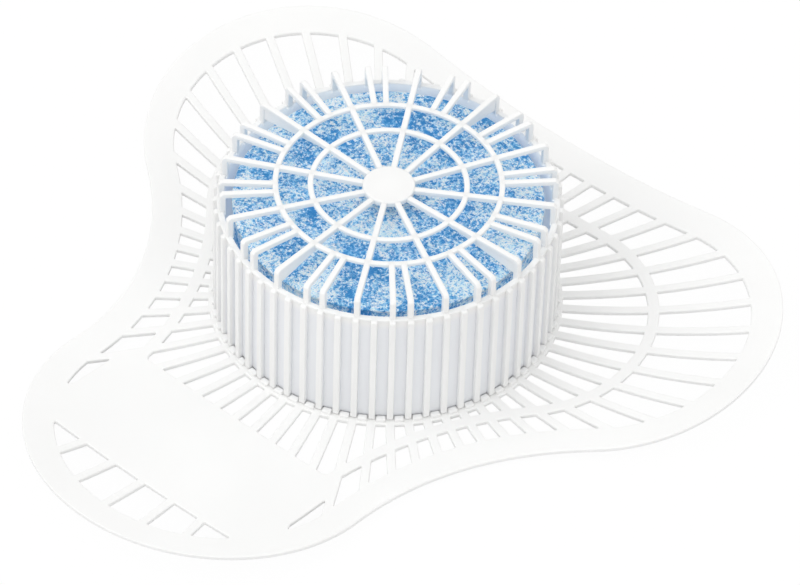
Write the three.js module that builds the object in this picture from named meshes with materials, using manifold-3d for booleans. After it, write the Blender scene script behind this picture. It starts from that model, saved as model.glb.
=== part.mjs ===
// Urinal deodorizer screen: a three-lobed flexible mat of radial bars, a ribbed round cage that stands
// on its middle, and the scented block held inside the cage.
// Millimetres, +Z up. The origin is on the cage's axis at the underside of the mat, and the mat's
// longest lobe, the one with the bare plate, points towards -Y.
import * as THREE from 'three';
import { mergeVertices } from 'three/addons/utils/BufferGeometryUtils.js';
import Module from 'manifold-3d';

const wasm = await Module();
wasm.setup();

const degrees = Math.PI / 180;

// The pattern that the mat and the cage share
const barCount = 60;                // bars in the mat, and ribs on the cage, one on each bar
const spokeCount = 12;              // long spokes in the grille, each on a rib
const clearance = 0.3;              // gap between pieces that seat on each other

// Mat
const sheetThickness = 1.3;
const barWidth = 2.4;
const borderWidth = 8.3;            // solid edge all round the mat
const sideLobeReach = 58.6;         // cage axis to the centre of a side lobe's arc
const sideLobeAngle = 30.4 * degrees;
const sideLobeRadius = 47.4;
const frontLobeReach = 69.2;        // cage axis to the centre of the front lobe's arc
const frontLobeRadius = 49.2;
const waistRadius = 72.8;           // hollow arc between the front lobe and a side lobe
const backRadius = 1400;            // nearly straight hollow arc between the two side lobes
const ringWidth = 3.1;              // lobed ring bar that ties the radial bars half way out
const ringSideReach = 34.9;
const ringSideAngle = 32.2 * degrees;
const ringSideRadius = 36.9;
const ringFrontReach = 70.8;
const ringFrontRadius = 32.4;
const ringWaistRadius = 96;
const plateNear = 60.4;             // bare plate in the front lobe: nearer and farther edge from the axis
const plateFar = 96.2;
const plateHalfWidth = 37.5;
const sideCurlRadius = 165;         // the lobes curl up from the flat middle; the front one curls less
const frontCurlRadius = 235;

// Cage
const wallInnerRadius = 43.4;
const wallThickness = 1.3;
const ribDepth = 1.4;
const ribWidth = 1.4;
const ribTopBevel = 1.1;
const rimHeight = 36.2;             // mat's upper face to the top of the cage's rim
const lipDepth = 0.8;               // the rim stands proud of the wall
const lipHeight = 1.6;
const grilleHeight = 41.7;          // mat's upper face to the top of the grille
const spokeWidth = 1.5;
const spokeDepth = 2.2;
const legThickness = 1.7;
const legInset = 0.2;               // a leg's outer face stands this far in from the wall's outer face
const kneeBevel = 0.9;
const legRoot = 1.2;                // how deep a leg is rooted in the rim
const shortSpokeSpread = 12 * degrees;  // long spoke to the nearer of the two short ones beside it
const finCount = 4;                 // long spokes with a deep tapered web below them
const finDepth = 5.2;
const finWidth = 1.2;
const grilleRingRadius = 30;
const grilleInnerRingRadius = 20.5;
const grilleRingWidth = 1.6;
const grilleRingDepth = 1.8;
const hubRadius = 6.7;
const hubThickness = 2.1;
const hubRise = 0.3;                // the hub's face stands above the spokes
const ringDrop = 0.03;              // the rings' tops lie below the spokes' tops, so that no faces coincide

// Block
const blockWallGap = 2.8;           // block to the cage's wall all round
const blockHeadroom = 1.0;          // the block's top lies below the rim's top by this much
const blockEdge = 0.9;

// Foot of the cage on the mat
const flangeOverhang = 1.3;         // the mat's flange reaches past the ribs by this much
const lugHeight = 0.95;
const lugWidth = 2.5;
const lugBevel = 0.5;

// Floor of the mat under the block: hub, spokes and one ring, left open between them for the water
const floorHubRadius = 9;
const floorRimWidth = 5.5;          // flat ring under the cage's wall, inwards from the wall
const floorRingRadius = 24;
const floorRingWidth = 3;
const floorSpokeWidth = 3;
const floorSpokeCount = 12;

const deck = sheetThickness;
const wallOuterRadius = wallInnerRadius + wallThickness;
const ribRadius = wallOuterRadius + ribDepth;
const flangeRadius = ribRadius + flangeOverhang;
const cageFoot = deck + clearance;
const rimTop = deck + rimHeight;
const grilleTop = deck + grilleHeight;
const pitch = 2 * Math.PI / barCount;
const smallestSlot = 1.0;           // shorter slots are left closed
const straightness = 0.01;          // below this an outline hardly turns and a face hardly rises
const searchSteps = 40;             // enough for the edges' crossings to settle
const searchDamping = 0.7;
const drawingTurn = 1;              // radians that the plan is turned by while its faces are made
const edgeStepsPerBar = 3;
const longestEdge = 16;             // longer edges of the curled sheet's faces are halved
const flangeSeam = 0.4;             // the flat floor and the curled sheet share a band of this width
const blockSegments = 72;

// Plan geometry

const polar = (radius, angle) => new THREE.Vector2(radius * Math.cos(angle), radius * Math.sin(angle));

// The far crossing of a ray from the axis with a circle, or the near one.
function rayToCircle(angle, centre, radius, far) {
  const along = polar(1, angle).dot(centre);
  const half = Math.sqrt(Math.max(radius * radius - centre.lengthSq() + along * along, 0));
  return far ? along + half : along - half;
}

// A three-lobed curve, mirrored about X = 0: a front lobe, two side lobes and hollow arcs between them.
// The result gives the curve's radius at an angle, moved inwards by inset.
function trilobe(sideReach, sideAngle, sideRadius, frontReach, frontRadius, hollowRadius) {
  const side = polar(sideReach, sideAngle);
  const front = new THREE.Vector2(0, -frontReach);
  const toSide = sideRadius + hollowRadius;
  const toFront = frontRadius + hollowRadius;
  const span = front.clone().sub(side);
  const along = (toSide ** 2 - toFront ** 2 + span.lengthSq()) / (2 * span.length());
  const across = Math.sqrt(toSide ** 2 - along ** 2);
  const direction = span.normalize();
  const outward = new THREE.Vector2(-direction.y, direction.x);
  const waist = side.clone().addScaledVector(direction, along).addScaledVector(outward, across);
  const toBack = sideRadius + backRadius;
  const back = new THREE.Vector2(0, side.y + Math.sqrt(toBack ** 2 - side.x ** 2));
  return (angle, inset = 0) => {
    const bearing = Math.atan2(Math.sin(angle), Math.abs(Math.cos(angle)));
    const sideArc = sideRadius - inset;
    const frontArc = frontRadius - inset;
    const endOfSide = side.clone().lerp(waist, sideArc / toSide).angle() - 2 * Math.PI;
    const endOfFront = front.clone().lerp(waist, frontArc / toFront).angle() - 2 * Math.PI;
    const startOfBack = side.clone().lerp(back, sideArc / toBack).angle();
    if (bearing > startOfBack) return rayToCircle(bearing, back, backRadius + inset, false);
    if (bearing > endOfSide) return rayToCircle(bearing, side, sideArc, true);
    if (bearing > endOfFront) return rayToCircle(bearing, waist, hollowRadius + inset, false);
    return rayToCircle(bearing, front, frontArc, true);
  };
}

const outline = trilobe(sideLobeReach, sideLobeAngle, sideLobeRadius, frontLobeReach, frontLobeRadius,
  waistRadius);
const ringLine = trilobe(ringSideReach, ringSideAngle, ringSideRadius, ringFrontReach, ringFrontRadius,
  ringWaistRadius);

const borderEdge = (angle) => outline(angle, borderWidth);
const ringOuterEdge = (angle) => ringLine(angle, -ringWidth / 2);
const ringInnerEdge = (angle) => ringLine(angle, ringWidth / 2);
const flangeEdge = () => flangeRadius;

// Edges of the plate as radii, valid in the front lobe
const plateNearEdge = (angle) => plateNear / -Math.sin(angle);
const plateFarEdge = (angle) => plateFar / -Math.sin(angle);
const plateEndEdge = (angle) => plateHalfWidth / Math.abs(Math.cos(angle));

// Where a line beside a bar, shifted sideways from the radial direction, meets an edge.
function meet(angle, shift, edge) {
  const direction = polar(1, angle);
  const sideways = new THREE.Vector2(-direction.y, direction.x);
  let run = edge(angle);
  let point = new THREE.Vector2();
  for (let step = 0; step < searchSteps; step++) {
    point = direction.clone().multiplyScalar(run).addScaledVector(sideways, shift);
    run += searchDamping * (edge(Math.atan2(point.y, point.x)) - point.length());
  }
  return point;
}

// One line across the bay between bar k and the next: share 0 is the first bar's side, 1 the other's.
function acrossBay(bay, share, edge) {
  return meet((bay + share) * pitch, barWidth / 2 * (1 - 2 * share), edge);
}

// A slot between two neighbouring bars, from an inner edge to an outer one. Where the edges cross
// inside the bay, the slot ends there in a point.
function slot(bay, innerEdge, outerEdge) {
  const depth = (share) => acrossBay(bay, share, outerEdge).length() - acrossBay(bay, share, innerEdge).length();
  const crossing = (open, shut) => {
    for (let step = 0; step < searchSteps; step++) {
      const middle = (open + shut) / 2;
      if (depth(middle) > 0) open = middle;
      else shut = middle;
    }
    return open;
  };
  const samples = [0, 0.25, 0.5, 0.75, 1];
  const deepest = samples.reduce((best, share) => (depth(share) > depth(best) ? share : best), 0);
  if (depth(deepest) < smallestSlot) return null;
  const first = depth(0) > 0 ? 0 : crossing(deepest, 0);
  const last = depth(1) > 0 ? 1 : crossing(deepest, 1);
  const middle = (first + last) / 2;
  const points = [first, middle, last].map((share) => acrossBay(bay, share, innerEdge));
  points.push(...[last, middle, first].map((share) => acrossBay(bay, share, outerEdge)));
  return corners(points);
}

// Only the points at which a closed outline turns, because points on a straight run serve nothing
function corners(points) {
  return points.filter((point, i) => {
    const before = points[(i + points.length - 1) % points.length].clone().sub(point);
    const after = points[(i + 1) % points.length].clone().sub(point);
    return Math.abs(before.cross(after)) > straightness;
  });
}

// The slots of one bay, from the cage outwards
function slotsOfBay(bay) {
  const middle = (bay + 0.5) * pitch;
  const fromFront = Math.abs(Math.atan2(Math.cos(middle), -Math.sin(middle)));
  const plateBays = Math.atan2(plateHalfWidth, plateNear);
  if (fromFront > Math.round(plateBays / pitch) * pitch) {
    return [slot(bay, flangeEdge, ringInnerEdge), slot(bay, ringOuterEdge, borderEdge)];
  }
  const nearLimit = (angle) => Math.min(ringInnerEdge(angle), plateNearEdge(angle));
  return [
    slot(bay, flangeEdge, nearLimit),
    slot(bay, plateFarEdge, borderEdge),
    fromFront > plateBays - pitch ? slot(bay, plateEndEdge, borderEdge) : null,
  ];
}

// Mat

// Height that the curled mat gains over its flat middle
function curl(x, y) {
  const beyond = Math.max(Math.hypot(x, y) - flangeRadius, 0);
  const backness = (1 + Math.sin(Math.atan2(y, x))) / (1 + Math.sin(sideLobeAngle));
  const curvature = 1 / frontCurlRadius + (1 / sideCurlRadius - 1 / frontCurlRadius) * backness;
  return curvature * beyond * beyond / 2;
}

function floorOpening(index, innerRadius, outerRadius) {
  const first = index * 2 * Math.PI / floorSpokeCount;
  const next = first + 2 * Math.PI / floorSpokeCount;
  const along = (radius, shares) => shares.map((share) => {
    const trim = Math.asin(floorSpokeWidth / 2 / radius);
    return polar(radius, first + trim + (next - first - 2 * trim) * share);
  });
  return [...along(innerRadius, [0, 1]), ...along(outerRadius, [1, 2 / 3, 1 / 3, 0])];
}

function circle(radius) {
  return Array.from({ length: barCount }, (_, i) => polar(radius, i * pitch));
}

// A sheet with openings. The plan is drawn at a slant, where no edges of different openings line up.
function sheet(edge, openings) {
  const slanted = (points) => points.map((point) => point.rotateAround(new THREE.Vector2(), drawingTurn));
  const shape = new THREE.Shape(slanted(edge));
  shape.holes = openings.map((points) => new THREE.Path(slanted(points)));
  return new THREE.ExtrudeGeometry(shape, { depth: sheetThickness, bevelEnabled: false }).rotateZ(-drawingTurn);
}

function curledSheet() {
  const edge = [];
  for (let step = 0; step < barCount * edgeStepsPerBar; step++) {
    const angle = step * pitch / edgeStepsPerBar;
    edge.push(polar(outline(angle), angle));
  }
  const slots = Array.from({ length: barCount }, (_, bay) => slotsOfBay(bay)).flat().filter((points) => points);
  const curled = evenFaces(sheet(edge, [circle(flangeRadius - 2 * flangeSeam), ...slots]));
  const place = curled.getAttribute('position');
  for (let i = 0; i < place.count; i++) {
    place.setZ(i, place.getZ(i) + curl(place.getX(i), place.getY(i)));
  }
  return curled;
}

function floor() {
  const openings = [];
  for (let index = 0; index < floorSpokeCount; index++) {
    openings.push(floorOpening(index, floorHubRadius, floorRingRadius - floorRingWidth / 2));
    openings.push(floorOpening(index, floorRingRadius + floorRingWidth / 2, wallInnerRadius - floorRimWidth));
  }
  return sheet(circle(flangeRadius - flangeSeam), openings);
}

function screen() {
  return joined([curledSheet(), floor(), ...repeated(barCount, lug, pitch / 2)]);
}

// A small rounded lug that fills the bay between two ribs at the cage's foot
function lug() {
  const half = lugWidth / 2;
  const root = sheetThickness / 2;
  const profile = new THREE.Shape([
    new THREE.Vector2(-half, deck - root),
    new THREE.Vector2(half, deck - root),
    new THREE.Vector2(half, deck + lugHeight - lugBevel),
    new THREE.Vector2(half - lugBevel, deck + lugHeight),
    new THREE.Vector2(-half + lugBevel, deck + lugHeight),
    new THREE.Vector2(-half, deck + lugHeight - lugBevel),
  ]);
  const start = wallOuterRadius + clearance;
  const length = flangeRadius - flangeOverhang / 2 - start;
  const solid = new THREE.ExtrudeGeometry(profile, { depth: length, bevelEnabled: false });
  // The profile is drawn across the lug and upwards, and runs outwards
  solid.applyMatrix4(new THREE.Matrix4().makeBasis(
    new THREE.Vector3(0, 1, 0),
    new THREE.Vector3(0, 0, 1),
    new THREE.Vector3(1, 0, 0),
  ));
  return solid.translate(start, 0, 0);
}

// Cage

function wall() {
  const lipRadius = wallOuterRadius + lipDepth;
  const lipFoot = rimTop - lipHeight;
  const profile = [
    [wallInnerRadius, cageFoot],
    [wallOuterRadius, cageFoot],
    [wallOuterRadius, lipFoot],
    [lipRadius, lipFoot + lipDepth / 2],
    [lipRadius, rimTop - lipDepth / 2],
    [lipRadius - lipDepth / 2, rimTop],
    [wallInnerRadius, rimTop],
    [wallInnerRadius, cageFoot],
  ];
  return lathe(profile, barCount);
}

// A plate that stands in a radial plane: its outline is given as radius and height
function radialPlate(points, width) {
  const shape = new THREE.Shape(points.map(([radius, height]) => new THREE.Vector2(radius, height)));
  const solid = new THREE.ExtrudeGeometry(shape, { depth: width, bevelEnabled: false });
  solid.translate(0, 0, -width / 2);
  return solid.rotateX(Math.PI / 2);
}

function rib() {
  const root = wallOuterRadius - wallThickness / 2;
  const top = rimTop - lipDepth;
  return radialPlate([
    [root, cageFoot],
    [ribRadius, cageFoot],
    [ribRadius, top - ribTopBevel],
    [ribRadius - ribTopBevel, top],
    [root, top],
  ], ribWidth);
}

// A leg from the rim up to the knee, with a spoke from the knee inwards to a given radius
function spoke(innerRadius) {
  const outside = wallOuterRadius - legInset;
  const inside = outside - legThickness;
  const underside = grilleTop - spokeDepth;
  return radialPlate([
    [outside, rimTop - legRoot],
    [outside, grilleTop - kneeBevel],
    [outside - kneeBevel, grilleTop],
    [innerRadius, grilleTop],
    [innerRadius, underside],
    [inside, underside],
    [inside, rimTop - legRoot],
  ], spokeWidth);
}

// The deep web under one of the four stiff spokes: full depth at the leg, none at the inner ring
function fin() {
  const outside = wallOuterRadius - legInset - legThickness / 2;
  const underside = grilleTop - spokeDepth / 2;
  return radialPlate([
    [outside, underside],
    [grilleInnerRingRadius, underside],
    [grilleInnerRingRadius, grilleTop - grilleRingDepth],
    [outside, grilleTop - finDepth],
  ], finWidth);
}

function grilleRing(radius) {
  const half = grilleRingWidth / 2;
  const bevel = grilleRingWidth / 4;
  const foot = grilleTop - grilleRingDepth;
  const top = grilleTop - ringDrop;
  return lathe([
    [radius - half, foot],
    [radius + half, foot],
    [radius + half, top - bevel],
    [radius + half - bevel, top],
    [radius - half + bevel, top],
    [radius - half, top - bevel],
    [radius - half, foot],
  ], barCount);
}

function hub() {
  const top = grilleTop + hubRise;
  return lathe([
    [0, top - hubThickness],
    [hubRadius, top - hubThickness],
    [hubRadius, top - hubRise],
    [hubRadius - hubRise, top],
    [0, top],
  ], spokeCount * 3);
}

function cage() {
  const long = 2 * Math.PI / spokeCount;
  const overlap = grilleRingWidth / 4;
  const shortSpoke = () => spoke(grilleRingRadius - overlap);
  return joined([
    wall(),
    hub(),
    grilleRing(grilleRingRadius),
    grilleRing(grilleInnerRingRadius),
    ...repeated(barCount, rib),
    ...repeated(spokeCount, () => spoke(hubRadius / 2)),
    ...repeated(spokeCount, shortSpoke, shortSpokeSpread),
    ...repeated(spokeCount, shortSpoke, long - shortSpokeSpread),
    ...repeated(finCount, fin),
  ]);
}

// Block

function block() {
  const radius = wallInnerRadius - blockWallGap;
  const foot = deck + clearance;
  const top = rimTop - blockHeadroom;
  return lathe([
    [0, foot],
    [radius - blockEdge, foot],
    [radius, foot + blockEdge],
    [radius, top - blockEdge / 2],
    [radius - blockEdge / 2, top],
    [0, top],
  ], blockSegments);
}

// Tools

function lathe(profile, segments) {
  const points = profile.map(([radius, height]) => new THREE.Vector2(radius, height));
  return new THREE.LatheGeometry(points, segments, Math.PI / 2).rotateX(Math.PI / 2);
}

function repeated(count, make, start = 0) {
  return Array.from({ length: count }, (_, i) => make().rotateZ(start + i * 2 * Math.PI / count));
}

function withSharedVertices(geometry) {
  const plain = geometry.clone();
  plain.deleteAttribute('normal');
  plain.deleteAttribute('uv');
  return mergeVertices(plain, 1e-4);
}

// A level sheet with its faces cut again, none long and none thin, so that they can follow a curled surface
function evenFaces(geometry) {
  const merged = withSharedVertices(geometry);
  const place = Array.from({ length: merged.getAttribute('position').count }, (_, i) => (
    new THREE.Vector3().fromBufferAttribute(merged.getAttribute('position'), i)
  ));
  const faces = [];
  for (let i = 0; i < merged.index.count; i += 3) faces.push(Array.from(merged.index.array.slice(i, i + 3)));

  // For each side of each face, the face on the other side of it: [face, its turn so that the side is first]
  const sides = () => {
    const found = new Map();
    faces.forEach((face, f) => face.forEach((from, turn) => found.set(`${from} ${face[(turn + 1) % 3]}`, [f, turn])));
    return found;
  };
  const turned = (f, turn) => [0, 1, 2].map((step) => faces[f][(turn + step) % 3]);

  // One pass over all sides. Each face takes part in one change per pass.
  const pass = (wanted, change) => {
    const found = sides();
    const changed = new Set();
    for (const [key, [f, turn]] of found) {
      const [g, turnOfG] = found.get(key.split(' ').reverse().join(' '));
      if (f > g || changed.has(f) || changed.has(g)) continue;
      const [a, b, c] = turned(f, turn);
      const d = turned(g, turnOfG)[2];
      if (!wanted(a, b, c, d)) continue;
      change(f, g, a, b, c, d);
      changed.add(f).add(g);
    }
    return changed.size;
  };
  const tooLong = (a, b) => place[a].distanceTo(place[b]) > longestEdge;
  const halve = (f, g, a, b, c, d) => {
    const middle = place.push(place[a].clone().lerp(place[b], 0.5)) - 1;
    faces[f] = [a, middle, c];
    faces[g] = [b, middle, d];
    faces.push([middle, b, c], [middle, a, d]);
  };
  const angleAt = (corner, p, q) => (
    place[p].clone().sub(place[corner]).angleTo(place[q].clone().sub(place[corner]))
  );
  const thin = (a, b, c, d) => {
    const level = [b, c, d].every((i) => Math.abs(place[i].z - place[a].z) < straightness);
    const convex = angleAt(a, c, b) + angleAt(a, b, d) < Math.PI && angleAt(b, c, a) + angleAt(b, a, d) < Math.PI;
    return level && convex && angleAt(c, a, b) + angleAt(d, a, b) > Math.PI + straightness;
  };
  const flip = (f, g, a, b, c, d) => {
    faces[f] = [a, d, c];
    faces[g] = [d, b, c];
  };
  while (pass(thin, flip));
  while (pass(tooLong, halve)) while (pass(thin, flip));
  const even = new THREE.BufferGeometry().setFromPoints(place);
  even.setIndex(faces.flat());
  return even;
}

function toManifold(geometry) {
  const merged = withSharedVertices(geometry);
  const corner = merged.index.array;
  const faces = [];
  for (let i = 0; i < corner.length; i += 3) {
    const face = [corner[i], corner[i + 1], corner[i + 2]];
    // A turned profile has faces without area where it meets its axis
    if (new Set(face).size === 3) faces.push(...face);
  }
  return new wasm.Manifold(new wasm.Mesh({
    numProp: 3,
    vertProperties: new Float32Array(merged.getAttribute('position').array),
    triVerts: new Uint32Array(faces),
  }));
}

function joined(geometries) {
  const [first, ...rest] = geometries.map(toManifold);
  const mesh = rest.reduce((whole, piece) => whole.add(piece), first).getMesh();
  const geometry = new THREE.BufferGeometry();
  geometry.setAttribute('position', new THREE.BufferAttribute(new Float32Array(mesh.vertProperties), 3));
  geometry.setIndex(new THREE.BufferAttribute(new Uint32Array(mesh.triVerts), 1));
  geometry.computeVertexNormals();
  return geometry;
}

function part(name, geometry, color, roughness) {
  const material = new THREE.MeshStandardMaterial({ color, roughness, metalness: 0 });
  const mesh = new THREE.Mesh(geometry, material);
  mesh.name = name;
  return mesh;
}

const group = new THREE.Group();
group.add(part('screen', screen(), 0xf4f4f2, 0.5));
group.add(part('cage', cage(), 0xeceef0, 0.45));
group.add(part('deodorizer_block', joined([block()]), 0x4f9bdb, 0.8));

export default group;
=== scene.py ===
import math

import bmesh
import bpy
import numpy as np
from mathutils import Matrix, Vector, kdtree, noise
from mathutils.geometry import delaunay_2d_cdt


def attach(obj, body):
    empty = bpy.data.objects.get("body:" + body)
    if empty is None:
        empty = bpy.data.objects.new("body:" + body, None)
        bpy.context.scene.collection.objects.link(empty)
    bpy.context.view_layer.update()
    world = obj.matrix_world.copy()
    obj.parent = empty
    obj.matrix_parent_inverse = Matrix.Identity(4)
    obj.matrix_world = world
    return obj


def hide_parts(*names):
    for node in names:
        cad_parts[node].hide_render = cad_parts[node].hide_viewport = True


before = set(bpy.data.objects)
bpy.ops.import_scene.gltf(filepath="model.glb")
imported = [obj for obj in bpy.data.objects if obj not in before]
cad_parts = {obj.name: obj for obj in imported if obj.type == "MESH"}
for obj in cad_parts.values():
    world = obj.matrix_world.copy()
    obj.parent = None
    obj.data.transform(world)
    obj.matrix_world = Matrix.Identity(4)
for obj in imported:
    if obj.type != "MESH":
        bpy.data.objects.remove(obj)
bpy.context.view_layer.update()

# Lengths are in millimetres and angles in degrees, unless a comment says otherwise, and the finished
# meshes are in metres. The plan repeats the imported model's.
millimetre = 0.001
barCount = 60
spokeCount = 12
pitch = 2 * math.pi / barCount
deck = 1.3
clearance = 0.3
wallInner = 43.4
wallOuter = 44.7
ribRadius = 46.1
flangeRadius = 47.4
cageFoot = deck + clearance
rimTop = deck + 36.5
grilleTop = deck + 42.8


# Materials and node trees. Scales, depths and ranges of radius or height in them are per metre or in metres.

# A written colour as the shaders take it
def paint(code):
    shares = [int(code[i:i + 2], 16) / 255 for i in (1, 3, 5)]
    linear = [share / 12.92 if share <= 0.04045 else ((share + 0.055) / 1.055) ** 2.4 for share in shares]
    return (*linear, 1.0)


# Places of the nodes' outputs that are used below
objectPlace = 3
generatedPlace = 0
cellColour = 1
cameraRay, glossyRay, transmissionRay = 0, 3, 6


# A socket in a node tree, with which sums are written as they are with numbers
class Wire:
    def __init__(self, tree, socket=None):
        self.tree = tree
        self.socket = socket

    def node(self, kind, inputs=None, output=0, **settings):
        made = self.tree.nodes.new(kind)
        for name, value in settings.items():
            setattr(made, name, value)
        for name, value in (inputs or {}).items():
            if isinstance(value, Wire):
                self.tree.links.new(value.socket, made.inputs[name])
            else:
                made.inputs[name].default_value = value
        return Wire(self.tree, made.outputs[output] if len(made.outputs) else None)

    def maths(self, operation, first, second=0.0):
        return self.node("ShaderNodeMath", {0: first, 1: second}, operation=operation)

    def __add__(self, other):
        return self.maths("ADD", self, other)

    def __radd__(self, other):
        return self.maths("ADD", other, self)

    def __sub__(self, other):
        return self.maths("SUBTRACT", self, other)

    def __rsub__(self, other):
        return self.maths("SUBTRACT", other, self)

    def __mul__(self, other):
        return self.maths("MULTIPLY", self, other)

    def __rtruediv__(self, other):
        return self.maths("DIVIDE", other, self)

    def __pow__(self, other):
        return self.maths("POWER", self, other)

    def __abs__(self):
        return self.maths("ABSOLUTE", self)

    def atMost(self, limit):
        return self.maths("MINIMUM", self, limit)

    # 0 below the first limit and 1 above the second, with a smooth rise between them
    def rise(self, low, high):
        return self.node("ShaderNodeMapRange", {"Value": self, "From Min": low, "From Max": high},
                         interpolation_type="SMOOTHSTEP")

    # The mix node takes its factor at 0 and its two colours at 6 and 7
    def between(self, first, second):
        return self.node("ShaderNodeMix", {0: self, 6: first, 7: second}, output=2, data_type="RGBA")

    def noise(self, scale, detail=3.0, roughness=0.5, distortion=0.0):
        return self.node("ShaderNodeTexNoise", {"Vector": self, "Scale": scale, "Detail": detail,
                                                "Roughness": roughness, "Distortion": distortion})


def newMaterial(name):
    material = bpy.data.materials.new(name)
    material.use_nodes = True
    tree = material.node_tree
    tree.nodes.clear()
    start = Wire(tree)
    return material, start, start.node("ShaderNodeTexCoord", output=objectPlace)


def finishMaterial(start, varying, fixed):
    shader = start.node("ShaderNodeBsdfPrincipled", {**varying, **fixed})
    start.node("ShaderNodeOutputMaterial", {"Surface": shader})


# Smooth moulded plastic: slow drifts of shade and fine flow marks. A thin wall gets painted bluish shade for
# the block's light seen through it, and a painted glow on its inner face for the light that comes through.
def makePlastic(name, look):
    material, start, place = newMaterial(name)
    slow = place.noise(look["driftScale"], detail=2.0)
    fine = place.noise(look["grainScale"], detail=4.0, roughness=0.6)
    colour = slow.rise(*look["driftRange"]).between(paint(look["shade"]), paint(look["colour"]))
    varying = {}
    if "paintedWallShade" in look:
        x, y, height = [place.node("ShaderNodeSeparateXYZ", {"Vector": place}, output=axis)
                        for axis in range(3)]
        radius = (x * x + y * y) ** 0.5
        # Painted bluish shade on the wall panels below the rim, standing in for the block's light seen
        # through the thin wall
        behindWall = 1.0 - radius.rise(*look["paintedShadeRadii"])
        besideBlock = 1.0 - height.rise(*look["paintedShadeHeights"])
        colour = (behindWall * besideBlock * look["paintedShadeShare"]).between(colour, paint(look["paintedWallShade"]))
        # Painted glow (emission) on the wall's inner face near the rim, standing in for the light that comes
        # through the wall
        inside = (1.0 - radius.rise(*look["paintedGlowRadii"])) * (1.0 - height.rise(*look["paintedGlowHeights"]))
        varying["Emission Color"] = inside.between(paint("#000000"), paint(look["paintedGlow"]))
    bump = start.node("ShaderNodeBump", {"Strength": look["bump"], "Distance": look["grainDepth"],
                                         "Height": fine + slow * 2.0})
    roughness = look["roughness"] + (fine - 0.5) * look["roughnessSpread"]
    varying.update({"Base Color": colour, "Roughness": roughness, "Normal": bump})
    finishMaterial(start, varying, look["fixed"])
    return material


# Pressed scented block: granules of paler and deeper blue under soft clouds, and small white flecks
def makeBlockMaterial(name, look):
    material, start, place = newMaterial(name)
    cloud = place.noise(look["cloudScale"], detail=5.0, roughness=0.6, distortion=0.4)
    grit = place.noise(look["gritScale"], detail=5.0, roughness=0.75)
    fleck = place.noise(look["fleckScale"], detail=2.0)
    wisp = place.noise(look["wispScale"], detail=4.0, roughness=0.6, distortion=1.8)
    wisps = 1.0 - abs((wisp - 0.5) * 2.0)
    cells = {"Vector": place, "Scale": look["granuleScale"]}
    granule = place.node("ShaderNodeTexVoronoi", cells, output=cellColour)
    tone = (cloud - 0.5) * look["cloudShare"] + (grit - 0.5) * look["gritShare"] + 0.5
    tone = tone + (granule - 0.5) * look["granuleShare"]
    colour = tone.rise(*look["groundRange"]).between(paint(look["deep"]), paint(look["ground"]))
    colour = tone.rise(*look["paleRange"]).between(colour, paint(look["pale"]))
    streaks = wisps.rise(*look["wispRange"]) * tone.rise(*look["wispTones"]) * look["wispShare"]
    colour = streaks.between(colour, paint(look["white"]))
    flecks = fleck.rise(*look["fleckRange"]) * cloud.rise(*look["fleckClouds"])
    colour = flecks.between(colour, paint(look["white"]))
    height = cloud * 0.6 + grit * 0.8 + granule * 0.4 + flecks * 0.3
    bump = start.node("ShaderNodeBump", {"Strength": look["bump"], "Distance": look["gritDepth"],
                                         "Height": height})
    roughness = look["roughness"] - flecks * look["fleckShine"]
    finishMaterial(start, {"Base Color": colour, "Roughness": roughness, "Normal": bump}, look["fixed"])
    return material


matShine = {"IOR": 1.5, "Specular IOR Level": 0.35, "Subsurface Weight": 0.05,
            "Subsurface Radius": (1.0, 0.97, 0.95), "Subsurface Scale": 0.0006}
# The cage's emission strength drives the painted glow on the wall's inner face
cageShine = {"IOR": 1.5, "Specular IOR Level": 0.35, "Subsurface Weight": 0.12,
             "Subsurface Radius": (1.0, 0.99, 1.0), "Subsurface Scale": 0.0012, "Emission Strength": 1.0}

matLook = dict(
    colour="#F9F9F8", shade="#F6F6F5", driftScale=22.0, driftRange=(0.3, 0.7), grainScale=900.0,
    grainDepth=0.00004, bump=0.25, roughness=0.42, roughnessSpread=0.10, fixed=matShine,
)
cageLook = dict(
    colour="#F9F9F8", shade="#F6F6F5", driftScale=35.0, driftRange=(0.3, 0.7), grainScale=1100.0,
    grainDepth=0.00003, bump=0.22, roughness=0.38, roughnessSpread=0.10, fixed=cageShine,
    # Painted bluish shade on the wall panels below the rim, for the block's light seen through the wall
    paintedWallShade="#F0F2F6", paintedShadeRadii=(0.0448, 0.0456), paintedShadeHeights=(0.0335, 0.0365), paintedShadeShare=0.8,
    # Painted glow (emission) on the wall's inner face, for the light that comes through the wall
    paintedGlow="#7E7F80", paintedGlowRadii=(0.0436, 0.0440), paintedGlowHeights=(0.0372, 0.0377),
)
blockLook = dict(
    deep="#3A8FD0", ground="#7CC0EE", pale="#DDF5FF", white="#FDFEFF",
    cloudScale=90.0, gritScale=950.0, granuleScale=1500.0, fleckScale=1500.0, wispScale=300.0,
    cloudShare=2.0, gritShare=3.4, granuleShare=0.5, wispShare=0.95,
    groundRange=(0.1, 0.55), paleRange=(0.45, 1.0), wispRange=(0.9, 0.98), wispTones=(0.2, 0.65),
    fleckRange=(0.6, 0.66), fleckClouds=(0.36, 0.56),
    bump=0.6, gritDepth=0.0005, roughness=0.62, fleckShine=0.2,
    fixed={"IOR": 1.45, "Specular IOR Level": 0.3, "Subsurface Weight": 0.1,
           "Subsurface Radius": (0.4, 0.7, 1.0), "Subsurface Scale": 0.001},
)

matPlastic = makePlastic("matPlastic", matLook)
cagePlastic = makePlastic("cagePlastic", cageLook)
blockSurface = makeBlockMaterial("blockSurface", blockLook)


# Mesh tools

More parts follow.
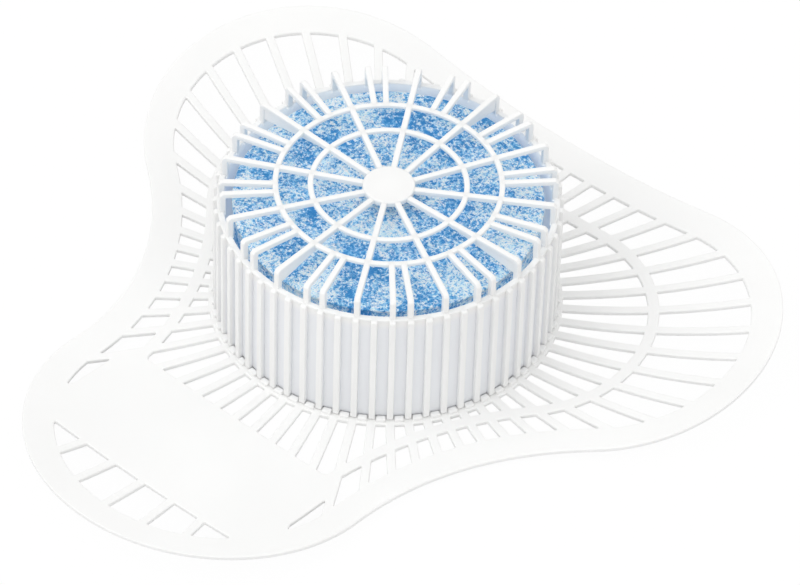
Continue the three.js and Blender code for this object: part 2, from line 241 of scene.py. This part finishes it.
def meshObject(name, points, faces, material):
    mesh = bpy.data.meshes.new(name)
    mesh.from_pydata([tuple(p) for p in np.asarray(points, float) * millimetre], [], faces)
    mesh.validate()
    mesh.polygons.foreach_set("use_smooth", [True] * len(mesh.polygons))
    mesh.materials.append(material)
    mesh.update()
    piece = bpy.data.objects.new(name, mesh)
    bpy.context.scene.collection.objects.link(piece)
    return piece


# What the piece's modifiers make becomes its plain mesh
def settle(piece):
    graph = bpy.context.evaluated_depsgraph_get()
    graph.update()
    made = bpy.data.meshes.new_from_object(piece.evaluated_get(graph), depsgraph=graph)
    piece.modifiers.clear()
    old = piece.data
    piece.data = made
    bpy.data.meshes.remove(old)
    made.name = piece.name
    return piece


def evenNormals(piece, weight=80):
    modifier = piece.modifiers.new("normals", "WEIGHTED_NORMAL")
    modifier.weight = weight
    modifier.keep_sharp = True
    return settle(piece)


def join(name, pieces):
    whole = bmesh.new()
    for piece in pieces:
        whole.from_mesh(piece.data)
    materials = pieces[0].data.materials[:]
    mesh = bpy.data.meshes.new(name)
    whole.to_mesh(mesh)
    whole.free()
    for material in materials:
        mesh.materials.append(material)
    mesh.polygons.foreach_set("use_smooth", [True] * len(mesh.polygons))
    for piece in pieces:
        old = piece.data
        bpy.data.objects.remove(piece)
        bpy.data.meshes.remove(old)
    made = bpy.data.objects.new(name, mesh)
    bpy.context.scene.collection.objects.link(made)
    return made


# Geometry nodes that repeat a piece round the cage's axis: Points, Instance on Points, Realize Instances
def arrayTree(material):
    tree = bpy.data.node_groups.new("roundArray", "GeometryNodeTree")
    tree.interface.new_socket("Geometry", in_out="INPUT", socket_type="NodeSocketGeometry")
    count = tree.interface.new_socket("Count", in_out="INPUT", socket_type="NodeSocketInt")
    start = tree.interface.new_socket("Start", in_out="INPUT", socket_type="NodeSocketFloat")
    tree.interface.new_socket("Geometry", in_out="OUTPUT", socket_type="NodeSocketGeometry")
    wire = Wire(tree)
    given = tree.nodes.new("NodeGroupInput")
    piece, copies, first = [Wire(tree, given.outputs[i]) for i in range(3)]
    step = 2 * math.pi / copies
    turn = wire.node("GeometryNodeInputIndex") * step + first
    angles = wire.node("ShaderNodeCombineXYZ", {"Z": turn})
    rotation = wire.node("FunctionNodeEulerToRotation", {0: angles})
    points = wire.node("GeometryNodePoints", {"Count": copies})
    placed = wire.node("GeometryNodeInstanceOnPoints", {"Points": points, "Instance": piece,
                                                        "Rotation": rotation})
    real = wire.node("GeometryNodeRealizeInstances", {"Geometry": placed})
    dressed = wire.node("GeometryNodeSetMaterial", {"Geometry": real, "Material": material})
    result = tree.nodes.new("NodeGroupOutput")
    tree.links.new(dressed.socket, result.inputs[0])
    return tree, count.identifier, start.identifier


def repeated(piece, count, start=0.0):
    tree, countInput, startInput = arrayTree(piece.data.materials[0])
    modifier = piece.modifiers.new("round", "NODES")
    modifier.node_group = tree
    modifier[countInput] = count
    modifier[startInput] = start
    return settle(piece)


# A closed outline in the radial plane, given as radius and height, becomes a plate with rounded edges
def radialPlate(name, outline, width, rounding, material, steps=2):
    shape = bmesh.new()
    sides = []
    for side in (-width / 2, width / 2):
        sides.append([shape.verts.new(Vector((r, side, z)) * millimetre) for r, z in outline])
    shape.faces.new(sides[0])
    shape.faces.new(list(reversed(sides[1])))
    for here in range(len(outline)):
        after = (here + 1) % len(outline)
        shape.faces.new([sides[0][after], sides[0][here], sides[1][here], sides[1][after]])
    bmesh.ops.recalc_face_normals(shape, faces=shape.faces)
    bmesh.ops.bevel(shape, geom=shape.edges[:], offset=rounding * millimetre, offset_type="OFFSET",
                    segments=steps, profile=0.5, affect="EDGES", clamp_overlap=True)
    mesh = bpy.data.meshes.new(name)
    shape.to_mesh(mesh)
    shape.free()
    mesh.polygons.foreach_set("use_smooth", [True] * len(mesh.polygons))
    mesh.materials.append(material)
    piece = bpy.data.objects.new(name, mesh)
    bpy.context.scene.collection.objects.link(piece)
    return piece


def left(direction):
    return np.stack([-direction[:, 1], direction[:, 0]], 1)


def unit(vectors):
    return vectors / np.maximum(np.linalg.norm(vectors, axis=1, keepdims=True), 1e-9)


# Corners of a closed outline that turn by more than a few degrees become arcs
straightTurn = math.radians(8)
arcShare = 0.45                   # an arc takes at most this share of the edges beside it


def rounded(points, radius, steps=4):
    points = np.asarray(points, float)
    count = len(points)
    made = []
    for i in range(count):
        before, here, after = points[i - 1], points[i], points[(i + 1) % count]
        back, ahead = before - here, after - here
        backLength, aheadLength = np.linalg.norm(back), np.linalg.norm(ahead)
        back, ahead = back / backLength, ahead / aheadLength
        turn = math.pi - math.acos(max(-1.0, min(1.0, float(back @ ahead))))
        if turn < straightTurn:
            made.append(here)
            continue
        reach = min(radius * math.tan(turn / 2), arcShare * backLength, arcShare * aheadLength)
        start, end = here + back * reach, here + ahead * reach
        for step in range(steps + 1):
            share = step / steps
            made.append((1 - share) ** 2 * start + 2 * share * (1 - share) * here + share ** 2 * end)
    return np.array(made)


def spaced(points, longest):
    made = []
    for i, here in enumerate(points):
        after = points[(i + 1) % len(points)]
        steps = max(1, math.ceil(np.linalg.norm(after - here) / longest))
        made.extend(here + (after - here) * step / steps for step in range(steps))
    return np.array(made)


# The outline moved to its left, which is into the material
def inset(points, distance):
    before = unit(points - np.roll(points, 1, axis=0))
    after = unit(np.roll(points, -1, axis=0) - points)
    normal = unit(left(before) + left(after))
    stretch = 1 / np.maximum((normal * left(after)).sum(1), 0.7)
    return points + normal * (distance * stretch)[:, None]


def area(points):
    x, y = points[:, 0], points[:, 1]
    return 0.5 * float(np.sum(x * np.roll(y, -1) - np.roll(x, -1) * y))


def insideOf(loop, points):
    found = np.zeros(len(points), bool)
    low, high = loop.min(0), loop.max(0)
    near = np.nonzero(((points >= low) & (points <= high)).all(1))[0]
    if len(near) == 0:
        return found
    x, y = points[near, 0][:, None], points[near, 1][:, None]
    ax, ay = loop[:, 0], loop[:, 1]
    bx, by = np.roll(ax, -1), np.roll(ay, -1)
    crosses = (ay > y) != (by > y)
    where = (bx - ax) * (y - ay) / np.where(by == ay, 1e-12, by - ay) + ax
    found[near] = (crosses & (x < where)).sum(1) % 2 == 1
    return found


# A turned ring or disc: profile points as radius and height, closed on itself or ending on the axis
def turnedPiece(name, profile, segments, material):
    angles = np.arange(segments) * 2 * math.pi / segments
    points, faces, rows = [], [], []
    for radius, height in profile:
        if radius < 1e-6:
            rows.append([len(points)] * segments)
            points.append((0.0, 0.0, height))
            continue
        rows.append(list(range(len(points), len(points) + segments)))
        points.extend((radius * math.cos(a), radius * math.sin(a), height) for a in angles)
    closed = profile[0][0] > 1e-6
    for i in range(len(rows) if closed else len(rows) - 1):
        lower, upper = rows[i], rows[(i + 1) % len(rows)]
        for k in range(segments):
            after = (k + 1) % segments
            corners = [lower[k], lower[after], upper[after], upper[k]]
            faces.append([corner for j, corner in enumerate(corners) if corner != corners[j - 1]])
    return meshObject(name, points, faces, material)


# Mat

matShape = dict(
    borderWidth=8.3, barWidth=2.4, ringWidth=3.1, sideReach=58.6, sideAngle=30.4, sideRadius=47.4,
    frontReach=69.2, frontRadius=49.2, waistRadius=72.8, backRadius=1400.0,
    ringSideReach=34.9, ringSideAngle=32.2, ringSideRadius=36.9, ringFrontReach=70.8, ringFrontRadius=32.4,
    ringWaistRadius=96.0, plateNear=60.4, plateFar=96.2, plateHalfWidth=37.5,
    sideCurl=165.0, frontCurl=235.0, smallestSlot=1.0,
    edgeTrim=0.05, edgeRounding=0.36, slotCorner=0.3, edgeStep=1.5, fillStep=2.6, outlineSteps=540,
    searchSteps=40, searchDamping=0.7, halvings=30, samePoint=0.05, rowShare=0.87, edgeRoom=0.45,
    floorHub=9.0, floorRim=5.5, floorRing=24.0, floorRingWidth=3.0, floorSpoke=3.0, floorSpokes=12,
)


def rayToCircle(angle, centre, radius, far):
    along = math.cos(angle) * centre[0] + math.sin(angle) * centre[1]
    half = math.sqrt(max(radius ** 2 - float(centre @ centre) + along ** 2, 0))
    return along + half if far else along - half


# The three-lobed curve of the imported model, as a radius for an angle, moved inwards by trim
def trilobe(sideReach, sideAngle, sideRadius, frontReach, frontRadius, hollowRadius, backRadius):
    side = sideReach * np.array([math.cos(sideAngle), math.sin(sideAngle)])
    front = np.array([0.0, -frontReach])
    toSide, toFront, toBack = sideRadius + hollowRadius, frontRadius + hollowRadius, sideRadius + backRadius
    span = front - side
    length = np.linalg.norm(span)
    along = (toSide ** 2 - toFront ** 2 + length ** 2) / (2 * length)
    across = math.sqrt(toSide ** 2 - along ** 2)
    direction = span / length
    waist = side + direction * along + np.array([-direction[1], direction[0]]) * across
    back = np.array([0.0, side[1] + math.sqrt(toBack ** 2 - side[0] ** 2)])

    def bearing(start, end, share):
        point = start + (end - start) * share
        return math.atan2(point[1], point[0])

    def radius(angle, trim=0.0):
        folded = math.atan2(math.sin(angle), abs(math.cos(angle)))
        if folded > bearing(side, back, (sideRadius - trim) / toBack):
            return rayToCircle(folded, back, backRadius + trim, False)
        if folded > bearing(side, waist, (sideRadius - trim) / toSide):
            return rayToCircle(folded, side, sideRadius - trim, True)
        if folded > bearing(front, waist, (frontRadius - trim) / toFront):
            return rayToCircle(folded, waist, hollowRadius + trim, False)
        return rayToCircle(folded, front, frontRadius - trim, True)
    return radius


outlineRadius = trilobe(
    matShape["sideReach"], math.radians(matShape["sideAngle"]), matShape["sideRadius"],
    matShape["frontReach"], matShape["frontRadius"], matShape["waistRadius"], matShape["backRadius"])
ringRadius = trilobe(
    matShape["ringSideReach"], math.radians(matShape["ringSideAngle"]), matShape["ringSideRadius"],
    matShape["ringFrontReach"], matShape["ringFrontRadius"], matShape["ringWaistRadius"],
    matShape["backRadius"])


def polar(radius, angle):
    return np.array([radius * math.cos(angle), radius * math.sin(angle)])


# Where the side of a bar, shifted sideways from the radial direction, meets an edge
def meet(angle, shift, edge):
    direction = polar(1.0, angle)
    sideways = np.array([-direction[1], direction[0]])
    run = edge(angle)
    for _ in range(matShape["searchSteps"]):
        point = direction * run + sideways * shift
        run += matShape["searchDamping"] * (edge(math.atan2(point[1], point[0])) - math.hypot(*point))
    return point


def acrossBay(bay, share, edge):
    return meet((bay + share) * pitch, matShape["barWidth"] / 2 * (1 - 2 * share), edge)


def slot(bay, innerEdge, outerEdge):
    def depth(share):
        return math.hypot(*acrossBay(bay, share, outerEdge)) - math.hypot(*acrossBay(bay, share, innerEdge))

    def crossing(opened, shut):
        for _ in range(matShape["halvings"]):
            middle = (opened + shut) / 2
            if depth(middle) > 0:
                opened = middle
            else:
                shut = middle
        return opened

    deepest = max((0, 0.25, 0.5, 0.75, 1), key=depth)
    if depth(deepest) < matShape["smallestSlot"]:
        return None
    first = 0 if depth(0) > 0 else crossing(deepest, 0)
    last = 1 if depth(1) > 0 else crossing(deepest, 1)
    shares = np.linspace(first, last, 5)
    points = [acrossBay(bay, share, innerEdge) for share in shares]
    points += [acrossBay(bay, share, outerEdge) for share in reversed(shares)]
    return [p for i, p in enumerate(points) if np.linalg.norm(p - points[i - 1]) > matShape["samePoint"]]


# The plan's edges, each as a radius for an angle
def border(angle):
    return outlineRadius(angle, matShape["borderWidth"])


def ringOuter(angle):
    return ringRadius(angle, -matShape["ringWidth"] / 2)


def ringInner(angle):
    return ringRadius(angle, matShape["ringWidth"] / 2)


def flange(angle):
    return flangeRadius


def plateNear(angle):
    return matShape["plateNear"] / -math.sin(angle)


def plateFar(angle):
    return matShape["plateFar"] / -math.sin(angle)


def plateEnd(angle):
    return matShape["plateHalfWidth"] / abs(math.cos(angle))


def ringOrPlate(angle):
    return min(ringInner(angle), plateNear(angle))


def slotsOfBay(bay):
    middle = (bay + 0.5) * pitch
    fromFront = abs(math.atan2(math.cos(middle), -math.sin(middle)))
    plateBays = math.atan2(matShape["plateHalfWidth"], matShape["plateNear"])
    if fromFront > round(plateBays / pitch) * pitch:
        return [slot(bay, flange, ringInner), slot(bay, ringOuter, border)]
    made = [slot(bay, flange, ringOrPlate), slot(bay, plateFar, border)]
    if fromFront > plateBays - pitch:
        made.append(slot(bay, plateEnd, border))
    return made


def floorOpening(index, innerRadius, outerRadius):
    first = index * 2 * math.pi / matShape["floorSpokes"]
    after = first + 2 * math.pi / matShape["floorSpokes"]
    points = []
    for radius, shares in ((innerRadius, np.linspace(0, 1, 6)), (outerRadius, np.linspace(1, 0, 9))):
        trim = math.asin(matShape["floorSpoke"] / 2 / radius)
        points.extend(polar(radius, first + trim + (after - first - 2 * trim) * share) for share in shares)
    return points


# Height that the curled mat gains over its flat middle
def curl(points):
    beyond = np.maximum(np.hypot(points[:, 0], points[:, 1]) - flangeRadius, 0)
    sine = np.sin(np.arctan2(points[:, 1], points[:, 0]))
    backness = (1 + sine) / (1 + math.sin(math.radians(matShape["sideAngle"])))
    front, side = 1 / matShape["frontCurl"], 1 / matShape["sideCurl"]
    curvature = front + (side - front) * backness
    return curvature * beyond ** 2 / 2


def matLoops():
    angles = np.arange(matShape["outlineSteps"]) * 2 * math.pi / matShape["outlineSteps"]
    loops = [np.array([polar(outlineRadius(a, matShape["edgeTrim"]), a) for a in angles])]
    openings = [points for bay in range(barCount) for points in slotsOfBay(bay) if points]
    ringIn = matShape["floorRing"] - matShape["floorRingWidth"] / 2
    ringOut = matShape["floorRing"] + matShape["floorRingWidth"] / 2
    for index in range(matShape["floorSpokes"]):
        openings.append(floorOpening(index, matShape["floorHub"], ringIn))
        openings.append(floorOpening(index, ringOut, wallInner - matShape["floorRim"]))
    for points in openings:
        loop = spaced(rounded(points, matShape["slotCorner"]), matShape["edgeStep"])
        loops.append(loop if area(loop) < 0 else loop[::-1])
    return loops


# Triangles that fill the plan between the loops, with even points inside
def fillPlan(loops):
    edgePoints = np.concatenate(loops)
    tree = kdtree.KDTree(len(edgePoints))
    for i, point in enumerate(edgePoints):
        tree.insert((*point, 0), i)
    tree.balance()
    low, high = loops[0].min(0), loops[0].max(0)
    step = matShape["fillStep"]
    inner = []
    for row, y in enumerate(np.arange(low[1], high[1], step * matShape["rowShare"])):
        for x in np.arange(low[0] + (row % 2) * step / 2, high[0], step):
            if tree.find((x, y, 0))[2] > step * matShape["edgeRoom"]:
                inner.append((x, y))
    inner = np.array(inner)
    keep = insideOf(loops[0], inner)
    for loop in loops[1:]:
        keep &= ~insideOf(loop, inner)
    inner = inner[keep]
    edges, start = [], 0
    for loop in loops:
        edges.extend((start + i, start + (i + 1) % len(loop)) for i in range(len(loop)))
        start += len(loop)
    given = np.concatenate([edgePoints, inner])
    _, _, faces, origins, _, _ = delaunay_2d_cdt([Vector(p) for p in given], edges, [], 0, 1e-5)
    origin = np.array([o[0] if o else -1 for o in origins])
    faces = origin[np.array(faces)]
    faces = faces[(faces >= 0).all(1)]
    middles = given[faces].mean(1)
    keep = insideOf(loops[0], middles)
    for loop in loops[1:]:
        keep &= ~insideOf(loop, middles)
    return given, faces[keep], len(edgePoints)


def makeMat():
    loops = matLoops()
    turns = np.radians([0, 30, 60, 90])
    rounding = matShape["edgeRounding"]
    profile = [(rounding * (1 - math.sin(t)), deck - rounding * (1 - math.cos(t))) for t in turns]
    profile += [(d, deck - z) for d, z in reversed(profile)]
    plan, triangles, edgeCount = fillPlan([inset(loop, profile[0][0]) for loop in loops])
    points, faces = [], []
    # Top face with its inner points, the rounded edges ring by ring, and the underside
    for ring, (distance, height) in enumerate(profile):
        flat = np.concatenate([inset(loop, distance) for loop in loops])
        if ring in (0, len(profile) - 1):
            flat = plan
        points.append(np.column_stack([flat, np.full(len(flat), height)]))
    starts = np.cumsum([0] + [len(p) for p in points])
    faces.extend((triangles + starts[0]).tolist())
    faces.extend((triangles[:, ::-1] + starts[-2]).tolist())
    ends, begin = np.empty(edgeCount, int), 0
    for loop in loops:
        ends[begin:begin + len(loop)] = begin + (np.arange(len(loop)) + 1) % len(loop)
        begin += len(loop)
    here = np.arange(edgeCount)
    for ring in range(len(profile) - 1):
        upper, lower = starts[ring], starts[ring + 1]
        faces.extend(np.column_stack([here + upper, here + lower, ends + lower, ends + upper]).tolist())
    points = np.concatenate(points)
    points[:, 2] += curl(points)
    return meshObject("matSheet", points, faces, matPlastic)


lugShape = dict(width=2.5, height=0.95, start=45.0, end=46.75, root=0.5, rounding=0.35)


# Short lugs on the flange, between the feet of the cage's ribs
def makeLugs():
    start, end = lugShape["start"], lugShape["end"]
    foot, top = deck - lugShape["root"], deck + lugShape["height"]
    outline = [(start, foot), (end, foot), (end, top), (start, top)]
    lug = radialPlate("lug", outline, lugShape["width"], lugShape["rounding"], matPlastic)
    return repeated(lug, barCount, pitch / 2)


mat = evenNormals(join("mat", [makeMat(), makeLugs()]))
print("mat", len(mat.data.polygons))


# Cage

cageShape = dict(
    lipDepth=0.35, lipHeight=0.9, ribWidth=1.7, ribTopBevel=0.45, ribTopDrop=0.1, ribRoot=0.6,
    spokeWidth=1.6, spokeDepth=1.5, legThickness=1.7, legInset=0.1, kneeBevel=0.9, legRoot=1.2,
    shortSpread=12.0, finCount=4, finDepth=5.2, finWidth=1.2, grilleDish=1.8,
    outerRing=29.7, innerRing=20.5, ringWidth=1.5, ringDepth=1.2, ringDrop=0.05,
    hubRadius=6.95, hubThickness=2.1, hubRise=0.3, hubEdge=0.5, rounding=0.28, rimRounding=0.4,
    wallSegments=360, ringSegments=180, hubSegments=96,
)


def roundedProfile(profile):
    return [tuple(p) for p in rounded(profile, cageShape["rimRounding"])]


def cagePlate(name, outline, width, count, start=0.0):
    plate = radialPlate(name, outline, width, cageShape["rounding"], cagePlastic)
    return repeated(plate, count, start)


def makeWall():
    lipDepth = cageShape["lipDepth"]
    lip = wallOuter + lipDepth
    foot = rimTop - cageShape["lipHeight"]
    profile = [(wallInner, cageFoot), (wallOuter, cageFoot), (wallOuter, foot),
               (lip, foot + lipDepth / 2), (lip, rimTop), (wallInner, rimTop)]
    return turnedPiece("wall", roundedProfile(profile), cageShape["wallSegments"], cagePlastic)


def makeRibs():
    top = rimTop - cageShape["ribTopDrop"]
    bevel = cageShape["ribTopBevel"]
    root = wallOuter - cageShape["ribRoot"]
    outline = [(root, cageFoot), (ribRadius, cageFoot), (ribRadius, top - bevel),
               (ribRadius - bevel, top), (root, top)]
    return cagePlate("rib", outline, cageShape["ribWidth"], barCount)


# The grille dips from its knees to its hub
def grilleHeight(radius):
    knees = wallOuter - cageShape["legInset"]
    return grilleTop - cageShape["grilleDish"] * (knees - radius) / (knees - cageShape["hubRadius"])


def makeSpokes(innerRadius, start=0.0):
    outside = wallOuter - cageShape["legInset"]
    inside = outside - cageShape["legThickness"]
    knee = outside - cageShape["kneeBevel"]
    legFoot = rimTop - cageShape["legRoot"]
    depth = cageShape["spokeDepth"]
    outline = [(outside, legFoot), (outside, grilleTop - cageShape["kneeBevel"]),
               (knee, grilleHeight(knee)), (innerRadius, grilleHeight(innerRadius)),
               (innerRadius, grilleHeight(innerRadius) - depth),
               (inside, grilleHeight(inside) - depth), (inside, legFoot)]
    return cagePlate("spoke", outline, cageShape["spokeWidth"], spokeCount, start)


def makeFins():
    outer = wallOuter - cageShape["legInset"] - cageShape["legThickness"] / 2
    inner = cageShape["innerRing"]
    root = cageShape["spokeDepth"] / 2
    outline = [(outer, grilleHeight(outer) - root), (inner, grilleHeight(inner) - root),
               (inner, grilleHeight(inner) - cageShape["ringDepth"]),
               (outer, grilleHeight(outer) - cageShape["finDepth"])]
    return cagePlate("fin", outline, cageShape["finWidth"], cageShape["finCount"])


def makeRing(radius):
    half = cageShape["ringWidth"] / 2
    top = grilleHeight(radius) - cageShape["ringDrop"]
    foot = grilleHeight(radius) - cageShape["ringDepth"]
    profile = [(radius - half, foot), (radius + half, foot), (radius + half, top), (radius - half, top)]
    return turnedPiece("ring", roundedProfile(profile), cageShape["ringSegments"], cagePlastic)


def makeHub():
    radius, edge = cageShape["hubRadius"], cageShape["hubEdge"]
    top = grilleHeight(radius) + cageShape["hubRise"]
    bottom = top - cageShape["hubThickness"]
    profile = [(0.0, bottom), (radius - edge, bottom), (radius, bottom + edge)]
    profile += [(radius - edge * (1 - math.cos(t)), top - edge * (1 - math.sin(t)))
                for t in np.linspace(0, math.pi / 2, 5)]
    profile += [(radius * share, top) for share in (0.7, 0.35)] + [(0.0, top)]
    return turnedPiece("hub", profile, cageShape["hubSegments"], cagePlastic)


spread = math.radians(cageShape["shortSpread"])
longAngle = 2 * math.pi / spokeCount
longEnd = cageShape["hubRadius"] / 2
shortEnd = cageShape["outerRing"] - cageShape["ringWidth"] / 4
cageWall = evenNormals(join("cageWall", [makeWall(), makeRibs()]))
cageGrille = evenNormals(join("cageGrille", [
    makeSpokes(longEnd), makeSpokes(shortEnd, spread), makeSpokes(shortEnd, longAngle - spread),
    makeFins(), makeRing(cageShape["outerRing"]), makeRing(cageShape["innerRing"]), makeHub(),
]))
print("cage", len(cageWall.data.polygons), len(cageGrille.data.polygons))


# Block

blockShape = dict(wallGap=2.3, headroom=0.1, edge=0.9, rings=56, sideRings=14, segments=200,
                  lumpSize=9.0, lumpDepth=0.35, pitSize=1.8, pitDepth=0.16)


def makeBlock():
    edge, rings, sideRings = blockShape["edge"], blockShape["rings"], blockShape["sideRings"]
    radius = wallInner - blockShape["wallGap"]
    foot, top = deck + clearance, rimTop - blockShape["headroom"]
    side = top - foot - 2 * edge
    profile = [(0.0, foot), (radius - edge, foot), (radius, foot + edge)]
    profile += [(radius, foot + edge + side * k / sideRings) for k in range(1, sideRings + 1)]
    profile += [(radius - edge * (1 - math.cos(t)), top - edge * (1 - math.sin(t)))
                for t in np.linspace(0.2, math.pi / 2, 4)]
    profile += [((radius - edge) * (1 - k / rings), top) for k in range(1, rings)] + [(0.0, top)]
    piece = turnedPiece("block", profile, blockShape["segments"], blockSurface)
    for vertex in piece.data.vertices:
        at = vertex.co / millimetre
        lump = 0.5 + 0.5 * noise.noise(at / blockShape["lumpSize"])
        pit = max(0.0, noise.noise(at / blockShape["pitSize"]))
        lower = lump * blockShape["lumpDepth"] + pit * blockShape["pitDepth"]
        if at.z > top - edge:
            vertex.co.z -= lower * millimetre
        elif at.z > foot + edge:
            vertex.co.xy *= 1 - lower / radius
    piece.data.update()
    return piece


block = makeBlock()
print("block", len(block.data.polygons))

for piece, node, slotName in ((mat, "screen", "screen_plastic"), (cageWall, "cage", "cage_plastic"),
                              (cageGrille, "cage", "cage_plastic"),
                              (block, "deodorizer_block", "scented_block")):
    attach(piece, "root")
    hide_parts(node)


# Stage. The floor looks white to the camera and lights the piece as a pale floor does, and the sky is a
# soft tent, brighter overhead than at the sides.

stageLook = dict(floorSize=12.0, floorDrop=0.0001, floor="#E2E2E2", whiteShare=0.96, white=1.012,
                 overheadLight=0.88, sideLight=0.70, backdrop=1.0)


def makeFloor(look):
    half = look["floorSize"] / 2 / millimetre
    drop = -look["floorDrop"] / millimetre
    material, start, place = newMaterial("floorSurface")
    diffuse = start.node("ShaderNodeBsdfDiffuse", {"Color": paint(look["floor"])})
    white = start.node("ShaderNodeEmission", {"Color": (1, 1, 1, 1), "Strength": look["white"]})
    seen = start.node("ShaderNodeLightPath", output=cameraRay)
    seen = seen + start.node("ShaderNodeLightPath", output=glossyRay)
    seen = seen + start.node("ShaderNodeLightPath", output=transmissionRay)
    share = seen.atMost(1.0) * look["whiteShare"]
    mixed = start.node("ShaderNodeMixShader", {0: share, 1: diffuse, 2: white})
    start.node("ShaderNodeOutputMaterial", {"Surface": mixed})
    corners = [(-half, -half, drop), (half, -half, drop), (half, half, drop), (-half, half, drop)]
    floor = meshObject("floor", corners, [(0, 1, 2, 3)], material)


def makeWorld(look):
    world = bpy.data.worlds.new("studio")
    bpy.context.scene.world = world
    world.use_nodes = True
    tree = world.node_tree
    tree.nodes.clear()
    start = Wire(tree)
    direction = start.node("ShaderNodeTexCoord", output=generatedPlace)
    height = start.node("ShaderNodeSeparateXYZ", {"Vector": direction}, output=2)
    light = look["sideLight"] + height.rise(0.0, 1.0) * (look["overheadLight"] - look["sideLight"])
    seen = start.node("ShaderNodeLightPath", output=cameraRay)
    strength = light + seen * (look["backdrop"] - light)
    background = start.node("ShaderNodeBackground", {"Color": (1, 1, 1, 1), "Strength": strength})
    start.node("ShaderNodeOutputWorld", {"Surface": background})


lamps = [
    dict(name="keyLamp", position=(-0.5, -0.8, 1.35), size=1.3, power=6.9),
    dict(name="fillLamp", position=(1.1, -0.5, 1.1), size=1.2, power=2.7),
]


def makeLamp(look):
    light = bpy.data.lights.new(look["name"], "AREA")
    light.shape = "SQUARE"
    light.size = look["size"]
    light.energy = look["power"]
    lamp = bpy.data.objects.new(look["name"], light)
    lamp.location = look["position"]
    lamp.rotation_euler = (-Vector(look["position"])).to_track_quat("-Z", "Y").to_euler()
    bpy.context.scene.collection.objects.link(lamp)


cameraView = dict(position=(0.60340, -0.73329, 0.97477), target=(0.00241, 0.00306, 0.0013), roll=1.8125,
                  lens=228.94)


def makeCamera(look):
    data = bpy.data.cameras.new("camera")
    data.lens = look["lens"]
    camera = bpy.data.objects.new("camera", data)
    position = Vector(look["position"])
    ahead = (Vector(look["target"]) - position).normalized()
    level = ahead.cross(Vector((0, 0, 1))).normalized()
    upright = level.cross(ahead)
    roll = math.radians(look["roll"])
    right = level * math.cos(roll) + upright * math.sin(roll)
    up = right.cross(ahead)
    camera.matrix_world = Matrix.Translation(position) @ Matrix((right, up, -ahead)).transposed().to_4x4()
    bpy.context.scene.collection.objects.link(camera)
    bpy.context.scene.camera = camera


makeCamera(cameraView)
makeFloor(stageLook)
makeWorld(stageLook)
for look in lamps:
    makeLamp(look)
bpy.context.scene.view_settings.view_transform = "Standard"
print("stage", len(lamps))
